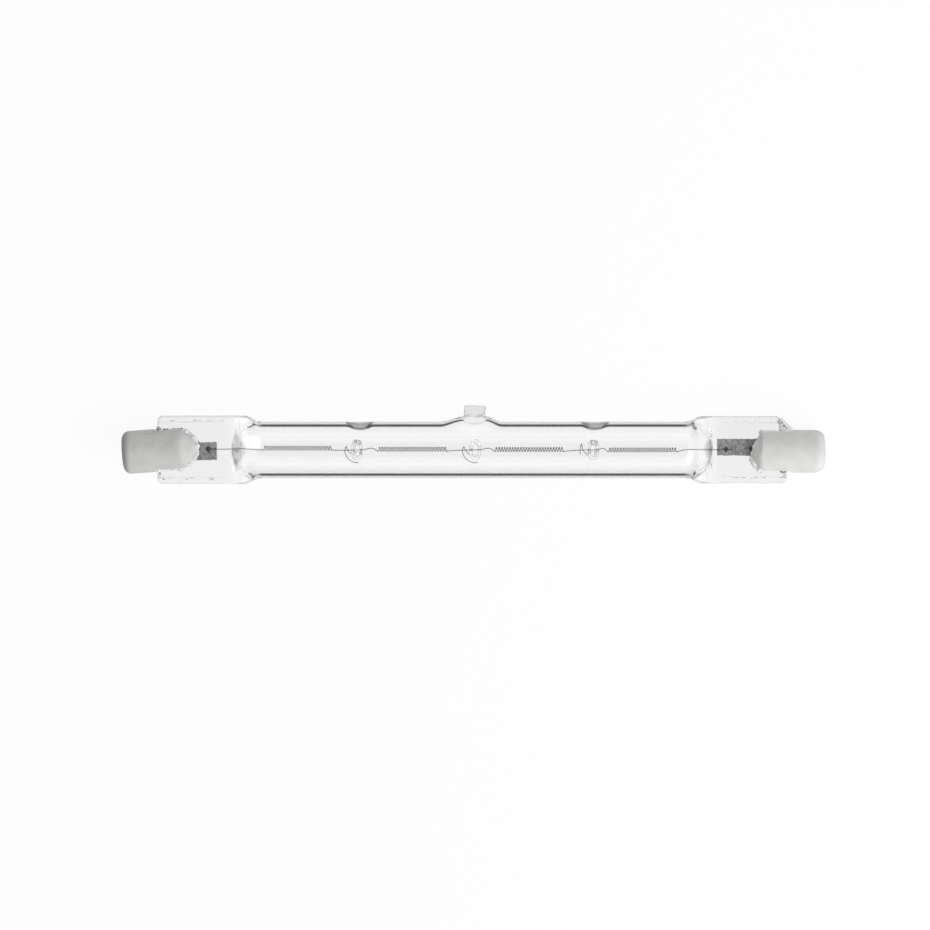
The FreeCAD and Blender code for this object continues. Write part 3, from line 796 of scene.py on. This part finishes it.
def wedge():
    """Smooth wedge of cement in the corner between the right seal's end and the barrel."""
    points, faces = bar(smooth_path(WEDGE_OUTLINE, 0.12), WEDGE_HALF_DEPTH, WEDGE_BEVEL)
    points += WEDGE_LUMPS * lumps(points, 0.8, 22)[:, None] * (1, 1, 0.5)
    return points, faces


def edge_dark_lumps(side):
    """Dark lumps along the edge between cement and glass."""
    return joined([blob((x, y, EDGE_LUMP_LEVEL), (size * 1.5, size, EDGE_LUMP_HALF_DEPTH), 31 + number, 0.8, 1)
                   for number, (x, y, size) in enumerate(EDGE_DARK_LUMPS[side])])


def pits():
    """Painted shade for small open pores in the left cap, as dark lumps on its side square to the seal."""
    parts = []
    for number, (x, y, size) in enumerate(PORES):
        z = math.sqrt(CAP_RADIUS ** 2 - (y - cap_axis(LEFT, x)) ** 2)
        parts.append(blob((x, y, z - PORE_SINK), (size, size, PORE_HALF_DEPTH), 61 + number, 0.6, 1))
    return joined(parts)


def welds(side):
    """Burnt weld spots where leg and lead meet the foil."""
    return joined([blob((x, y, WELD_LEVEL), (size, *WELD_HALF_SIZE), 71 + number, 0.5)
                   for number, (x, y, size) in enumerate(WELD_SPOTS[side])])


def foil(side):
    """Thin crinkled sheet with a ragged edge."""
    start, end, low, high = FOIL_EDGES[side]
    columns, rows = FOIL_GRID
    u, v = np.meshgrid(np.linspace(0, 1, columns), np.linspace(0, 1, rows), indexing="ij")
    flat = np.stack([start + u * (end - start), low + v * (high - low), np.zeros_like(u)], -1)
    ripple = lumps(flat.reshape(-1, 3) * (0.5, 1, 1), 0.3, 41 + side).reshape(u.shape)
    ragged = lumps(flat.reshape(-1, 3) * (1, 0.1, 1), 0.4, 45 + side).reshape(u.shape)
    flat[..., 1] += FOIL_RAGGED * ragged * (2 * v - 1)
    sheets = []
    for face in (-1, 1):
        sheet = flat.copy()
        sheet[..., 2] = FOIL_DEPTH + FOIL_RIPPLE * ripple + face * FOIL_HALF_THICKNESS
        sheets.append(sheet.reshape(-1, 3))
    faces = []
    count = columns * rows
    for column in range(columns - 1):
        for row in range(rows - 1):
            corner = column * rows + row
            upper = (corner, corner + rows, corner + rows + 1, corner + 1)
            faces.append(tuple(count + corner for corner in upper))
            faces.append(upper[::-1])
    rim = [column * rows for column in range(columns)]
    rim += [(columns - 1) * rows + row for row in range(1, rows)]
    rim += [column * rows + rows - 1 for column in range(columns - 2, -1, -1)]
    rim += list(range(rows - 2, 0, -1))
    for first, second in zip(rim, rim[1:] + rim[:1]):
        faces.append((first, second, count + second, count + first))
    return np.concatenate(sheets), faces


# Shader nodes

def new_tree(name):
    material = bpy.data.materials.new(name)
    material.use_nodes = True
    material.node_tree.nodes.clear()
    return material, material.node_tree


def feed(tree, socket, value):
    """Link a socket to another, or set it to a plain value."""
    if isinstance(value, bpy.types.NodeSocket):
        tree.links.new(value, socket)
    else:
        socket.default_value = value


def maths(tree, operation, first, *others):
    """One Math node, or a chain of them where more than two values are given."""
    result = first
    for value in others or (0.0,):
        node = tree.nodes.new("ShaderNodeMath")
        node.operation = operation
        feed(tree, node.inputs[0], result)
        feed(tree, node.inputs[1], value)
        result = node.outputs[0]
    return result


def rise(tree, value, low, high, least=0.0, most=1.0):
    """Smooth change from least to most as a value goes from low to high."""
    node = tree.nodes.new("ShaderNodeMapRange")
    node.interpolation_type = "SMOOTHSTEP"
    feed(tree, node.inputs["Value"], value)
    node.inputs["From Min"].default_value = low
    node.inputs["From Max"].default_value = high
    node.inputs["To Min"].default_value = least
    node.inputs["To Max"].default_value = most
    return node.outputs["Result"]


def ramp(tree, value, stops):
    """Tone or colour that follows straight runs between (place, tone) stops."""
    node = tree.nodes.new("ShaderNodeValToRGB")
    elements = node.color_ramp.elements
    while len(elements) < len(stops):
        elements.new(0.5)
    for element, (place, tone) in zip(elements, stops):
        element.position = place
        colour = tone if isinstance(tone, tuple) else (tone, tone, tone)
        element.color = colour + (1,)
    feed(tree, node.inputs["Fac"], value)
    return node.outputs["Color"]


def grey(tree, value):
    node = tree.nodes.new("ShaderNodeCombineColor")
    for socket in node.inputs[:3]:
        tree.links.new(value, socket)
    return node.outputs[0]


def lamp_axes(tree):
    """Place in the lamp frame, millimetres."""
    place = tree.nodes.new("ShaderNodeTexCoord").outputs["Object"]
    sockets = []
    for axis in (Vector((1, 0, 0)), UP, TOWARDS):
        node = tree.nodes.new("ShaderNodeVectorMath")
        node.operation = "DOT_PRODUCT"
        tree.links.new(place, node.inputs[0])
        node.inputs[1].default_value = axis / MM
        sockets.append(node.outputs["Value"])
    return sockets


def speckle(tree, scale, detail, stretch=(1, 1, 1)):
    """Noise at the piece's own place, scale per metre."""
    place = tree.nodes.new("ShaderNodeTexCoord").outputs["Object"]
    sized = tree.nodes.new("ShaderNodeVectorMath")
    sized.operation = "MULTIPLY"
    tree.links.new(place, sized.inputs[0])
    sized.inputs[1].default_value = stretch
    node = tree.nodes.new("ShaderNodeTexNoise")
    node.inputs["Scale"].default_value = scale
    node.inputs["Detail"].default_value = detail
    tree.links.new(sized.outputs[0], node.inputs["Vector"])
    return node.outputs["Fac"]


def facing_of(tree):
    """How steeply the surface is looked at: 0 square on, 1 at its outline."""
    node = tree.nodes.new("ShaderNodeLayerWeight")
    node.inputs["Blend"].default_value = 0.5
    return node.outputs["Facing"]


def mixed(tree, share, first, second):
    node = tree.nodes.new("ShaderNodeMixShader")
    feed(tree, node.inputs["Fac"], share)
    tree.links.new(first, node.inputs[1])
    tree.links.new(second, node.inputs[2])
    return node.outputs[0]


def see_through(tree, colour=None):
    """Clear shader that bends no light, white or of a given colour."""
    node = tree.nodes.new("ShaderNodeBsdfTransparent")
    if colour is not None:
        feed(tree, node.inputs["Color"], colour)
    return node.outputs[0]


def finish(tree, shader):
    out = tree.nodes.new("ShaderNodeOutputMaterial")
    tree.links.new(shader, out.inputs["Surface"])


# Materials

def near_dimples(tree, x, y, z):
    """Share of plain clearness in the ovals of the dimples, high on the lower side and low on the upper."""
    inside = 0.0
    up = maths(tree, "POWER", maths(tree, "DIVIDE", y, CLEAR_OVAL[1]), 2)
    for support in SUPPORTS:
        along = maths(tree, "DIVIDE", maths(tree, "SUBTRACT", x, support), CLEAR_OVAL[0])
        along = maths(tree, "POWER", along, 2)
        inside = maths(tree, "MAXIMUM", inside, rise(tree, maths(tree, "ADD", along, up), 1.3, 0.85))
    return maths(tree, "MULTIPLY", inside, rise(tree, z, -0.5, 0.5, 0.92, 0.12))


def away_from_pip(tree, x, y):
    """Zero under the pip, one beside it and on the side away from it."""
    along = maths(tree, "ABSOLUTE", maths(tree, "SUBTRACT", x, PIP_X))
    return maths(tree, "MAXIMUM", rise(tree, along, 1.6, 1.9), rise(tree, y, 0.5, -0.5))


def painted_bulge_shade(tree, x, y, z):
    """Painted shade on the thick spots in the wall, grey with black flanks, and how far the wall's painted dark line
    stays.
    """
    dark = 0.0
    stays = 1.0
    for place in BULGES:
        along = maths(tree, "ABSOLUTE", maths(tree, "SUBTRACT", x, place))
        away = maths(tree, "ADD", maths(tree, "POWER", along, 2), maths(tree, "POWER", z, 2))
        away = maths(tree, "DIVIDE", maths(tree, "SQRT", away), BULGE_HALF_LENGTH)
        tone = maths(tree, "MULTIPLY", rise(tree, away, 1.05, 0.97), rise(tree, along, 0.8, 1.5, 0.72, 0.98))
        dark = maths(tree, "MAXIMUM", dark, tone)
        stays = maths(tree, "MULTIPLY", stays, rise(tree, along, 0.5, 1.2, 0.45, 1.0))
    stays = maths(tree, "MAXIMUM", stays, rise(tree, y, 1.0, 0.0))
    return maths(tree, "MULTIPLY", dark, rise(tree, y, 1.0, 2.0)), stays


def painted_wall_shade(tree, x, y, z, facing, from_glass):
    """Share of painted black in the cavity's wall, painted shade for the dim surroundings seen through steep glass:
    the lines along the tube's edges, and the bulges.
    """
    up = maths(tree, "ABSOLUTE", y)
    out = maths(tree, "ABSOLUTE", x)
    steep = maths(tree, "ADD", facing, rise(tree, y, -1.0, 1.0, 0.0, 0.012))
    wide = maths(tree, "MULTIPLY", ramp(tree, steep, WIDE_LINE), rise(tree, out, 36.6, 35.2))
    line = maths(tree, "MAXIMUM", wide, ramp(tree, steep, THIN_LINE))
    bulge, stays = painted_bulge_shade(tree, x, y, z)
    line = maths(tree, "MULTIPLY", line, rise(tree, up, 2.8, 3.4), rise(tree, out, 38.6, 37.8),
                 away_from_pip(tree, x, y), stays, from_glass)
    bulge = maths(tree, "MULTIPLY", bulge, rise(tree, facing, 0.3, 0.55),
                  rise(tree, from_glass, 0.0, 1.0, 1.0, 0.6))
    return maths(tree, "MAXIMUM", line, bulge)


def quartz_material(name, inner):
    """Clear glass with painted shade and painted reflection: the tones by how steeply it is looked at stand for the
    dim surroundings that steep glass shows.
    """
    material, tree = new_tree(name)
    x, y, z = lamp_axes(tree)
    facing = facing_of(tree)
    glass = tree.nodes.new("ShaderNodeBsdfPrincipled")
    glass.inputs["Roughness"].default_value = 0.0
    glass.inputs["IOR"].default_value = GLASS_IOR
    glass.inputs["Transmission Weight"].default_value = 1.0
    clearness = near_dimples(tree, x, y, z)
    out = maths(tree, "ABSOLUTE", x)
    if inner:
        from_glass = tree.nodes.new("ShaderNodeNewGeometry").outputs["Backfacing"]
        from_cavity = maths(tree, "SUBTRACT", 1.0, from_glass)
        # Seen from inside the glass, the cavity wall carries painted shade by how steeply it is looked at.
        tone = maths(tree, "MAXIMUM", ramp(tree, facing, BORE_PAINTED_SHADE), from_cavity)
        # A near-black diffuse mixed into the cavity wall as painted shade: the dark lines along the tube and the
        # bulges' dark flanks.
        dark = tree.nodes.new("ShaderNodeBsdfDiffuse")
        dark.inputs["Color"].default_value = (0.01, 0.01, 0.011, 1)
        darkness = painted_wall_shade(tree, x, y, z, facing, from_glass)
        shader = mixed(tree, darkness, glass.outputs[0], dark.outputs[0])
        clearness = maths(tree, "MAXIMUM", clearness, rise(tree, out, 36.8, 38.2, 0.0, 0.55))
    else:
        # The outer skin carries painted shade and painted reflection by how steeply it is looked at, is a little
        # darker over the seals, and carries painted shade over the pip.
        seal = rise(tree, out, 38.0, 42.0, 1.0, 0.9)
        pip = rise(tree, y, 5.3, 5.9, 1.0, 0.6)
        tone = maths(tree, "MULTIPLY", ramp(tree, facing, OUTER_PAINTED_SHADE), seal, pip)
        # Most of the pip goes through a clear shader with painted shade, darker towards its outline.
        painted_shade_clear = see_through(tree, grey(tree, ramp(tree, facing, PIP_PAINTED_SHADE)))
        shader = mixed(tree, rise(tree, y, 4.95, 5.6, 0.0, 0.84), glass.outputs[0], painted_shade_clear)
    feed(tree, glass.inputs["Base Color"], grey(tree, tone))
    shader = mixed(tree, clearness, shader, see_through(tree))
    path = tree.nodes.new("ShaderNodeLightPath")
    unseen = maths(tree, "MAXIMUM", path.outputs["Is Shadow Ray"], path.outputs["Is Diffuse Ray"])
    finish(tree, mixed(tree, unseen, shader, see_through(tree, (0.97, 0.97, 0.97, 1))))
    return material


def solid_material(name, stops, roughness, metallic, scale, stretch=(1, 1, 1), bump=0.0, edge=None):
    """Surface whose colour follows noise between the stops, with an optional fine bump and an end darkened by
    painted shade.

    The painted shade at the end is given as (place along X where it is darkest, place where it is gone, least share
    of the colour).
    """
    material, tree = new_tree(name)
    shader = tree.nodes.new("ShaderNodeBsdfPrincipled")
    shader.inputs["Metallic"].default_value = metallic
    grain = speckle(tree, scale, 4.0, stretch)
    colour = ramp(tree, grain, stops)
    # Painted shade, darkest at one end along X.
    if edge:
        darkest, gone, least = edge
        shade = tree.nodes.new("ShaderNodeVectorMath")
        shade.operation = "MULTIPLY"
        tree.links.new(colour, shade.inputs[0])
        tree.links.new(grey(tree, rise(tree, lamp_axes(tree)[0], darkest, gone, least, 1.0)), shade.inputs[1])
        colour = shade.outputs[0]
    feed(tree, shader.inputs["Base Color"], colour)
    feed(tree, shader.inputs["Roughness"], rise(tree, grain, 0.3, 0.7, roughness - 0.06, roughness + 0.06))
    if bump:
        relief = tree.nodes.new("ShaderNodeBump")
        relief.inputs["Strength"].default_value = bump
        relief.inputs["Distance"].default_value = 0.0001
        tree.links.new(speckle(tree, scale * 2.5, 5.0), relief.inputs["Height"])
        tree.links.new(relief.outputs[0], shader.inputs["Normal"])
    finish(tree, shader.outputs[0])
    return material


def floor_material():
    """Pale floor that camera, glass and metal see as an even tone, with the lamp's shadow on it."""
    material, tree = new_tree("floor")
    shader = tree.nodes.new("ShaderNodeBsdfDiffuse")
    shader.inputs["Color"].default_value = (0.9, 0.9, 0.9, 1)
    glow = tree.nodes.new("ShaderNodeEmission")
    path = tree.nodes.new("ShaderNodeLightPath")
    seen = maths(tree, "MAXIMUM", path.outputs["Is Camera Ray"], path.outputs["Is Glossy Ray"],
                 path.outputs["Is Transmission Ray"])
    finish(tree, mixed(tree, maths(tree, "MULTIPLY", seen, FLOOR_TONE), shader.outputs[0], glow.outputs[0]))
    return material


# Pieces

def dress(piece, material):
    piece.data.materials.clear()
    piece.data.materials.append(material)


def add(name, shape, material, slot, *nodes, sharp=None, normals=None):
    """Make a piece that rides on the lamp and, where nodes are named, stands for them."""
    piece = new_piece(name, *shape, sharp=sharp, normals=normals)
    dress(piece, material)
    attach(piece, "root")
    if nodes:
        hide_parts(*nodes)


angles = turn_angles()
outer, pip_normals = outer_rings(angles)
pip_normals = np.concatenate([pip_normals.reshape(-1, 3), np.zeros((2, 3))])
add("quartz_outer_skin", skin(outer), quartz_material("quartz_outer", False), "quartz", "quartz_envelope",
    normals=pip_normals)
add("quartz_inner_skin", skin(inner_rings(angles), inward=True), quartz_material("quartz_inner", True), "quartz",
    "quartz_envelope")

tungsten = solid_material("tungsten", [(0.3, 0.015), (0.7, 0.05)], 0.5, 0.2, 4000)
add("filament_wire", wire(*filament_path()), tungsten, "tungsten", "filament")
for place, x, peak, arc_start in HOOKS:
    add(place + "_hook", support_wire(x, peak, arc_start), tungsten, "tungsten", place + "_support_wire")

# Both caps are one ceramic: the left one's darker colour is painted shade, and so is the darkening towards each
# cap's outer end.
ceramic = {
    LEFT: solid_material("left_ceramic", [(0.35, (0.6, 0.6, 0.59)), (0.65, (0.68, 0.68, 0.67))], 0.7, 0, 500,
                         bump=0.25, edge=(-58.8, -57.3, 0.5)),
    RIGHT: solid_material("right_ceramic", [(0.35, (0.67, 0.67, 0.66)), (0.65, (0.74, 0.74, 0.73))], 0.7, 0, 500,
                          bump=0.25, edge=(59.1, 57.6, 0.8)),
}
cement_dress = solid_material("cement", [(0.3, 0.76), (0.7, 0.9)], 0.9, 0, 1800, bump=0.3)
# Dark lumps: along the cement's edge, and as painted shade in the left cap's pores.
dark_lumps_and_pore_shade = solid_material("dark_lumps_and_pore_shade", [(0.3, 0.05), (0.7, 0.3)], 0.9, 0, 3000, bump=0.4)
foil_metal = solid_material("foil_metal", [(0.35, 0.2), (0.5, 0.33), (0.65, 0.46)], 0.5, 0.2, 3000, (1, 0.4, 1), 0.5)
lead_metal = solid_material("lead_metal", [(0.3, 0.02), (0.7, 0.06)], 0.6, 0.3, 2500)
button = solid_material("contact_metal", [(0.3, (0.5, 0.49, 0.46)), (0.7, (0.68, 0.67, 0.64))], 0.35, 1.0, 1500)
for side, place in ((LEFT, "left"), (RIGHT, "right")):
    add(place + "_ceramic", cap(side), ceramic[side], "ceramic", place + "_cap", sharp=40)
    add(place + "_cement_fill", cement(side), cement_dress, "cement", place + "_cement", sharp=50)
    add(place + "_cement_grit", edge_dark_lumps(side), dark_lumps_and_pore_shade, "cement")
    add(place + "_foil_sheet", foil(side), foil_metal, "molybdenum", place + "_foil")
    add(place + "_weld_marks", welds(side), tungsten, "tungsten")
    dress(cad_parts[place + "_lead"], lead_metal)
    dress(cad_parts[place + "_contact"], button)
add("left_cap_pits", pits(), dark_lumps_and_pore_shade, "ceramic")

# Stage
low = cad_box[0][2]
far = FLOOR_HALF_SIDE
floor_mesh = bpy.data.meshes.new("floor")
floor_mesh.from_pydata([(-far, -far, low), (far, -far, low), (far, far, low), (-far, far, low)], [], [(0, 1, 2, 3)])
floor = bpy.data.objects.new("floor", floor_mesh)
bpy.context.scene.collection.objects.link(floor)
dress(floor, floor_material())

key = bpy.data.lights.new("key_light", "AREA")
key.shape = "DISK"
key.size = KEY_SIZE
key.energy = KEY_POWER
key_light = bpy.data.objects.new("key_light", key)
key_light.location = KEY_PLACE
key_light.rotation_euler = (-Vector(KEY_PLACE)).to_track_quat("-Z", "Y").to_euler()
key_light.visible_glossy = False
bpy.context.scene.collection.objects.link(key_light)

world = bpy.data.worlds.new("studio")
world.use_nodes = True
world.node_tree.nodes["Background"].inputs["Color"].default_value = (1, 1, 1, 1)
world.node_tree.nodes["Background"].inputs["Strength"].default_value = WORLD_STRENGTH
bpy.context.scene.world = world

centre = PHOTO_SIDE / 2
aim_x = (centre - PHOTO_CENTRE[0]) / PHOTO_SCALE * MM
aim_up = (PHOTO_CENTRE[1] - centre) / PHOTO_SCALE * MM
aim = Vector((aim_x, 0, 0)) + UP * aim_up
camera_data = bpy.data.cameras.new("camera")
camera_data.sensor_width = SENSOR / MM
camera_data.lens = SENSOR / MM * CAMERA_DISTANCE / (PHOTO_SIDE / PHOTO_SCALE * MM)
camera_data.clip_start = 0.01
camera = bpy.data.objects.new("camera", camera_data)
camera.location = aim + TOWARDS * CAMERA_DISTANCE
camera.rotation_euler = (-LIE, 0, 0)
bpy.context.scene.collection.objects.link(camera)
bpy.context.scene.camera = camera
bpy.context.scene.view_settings.view_transform = "Standard"
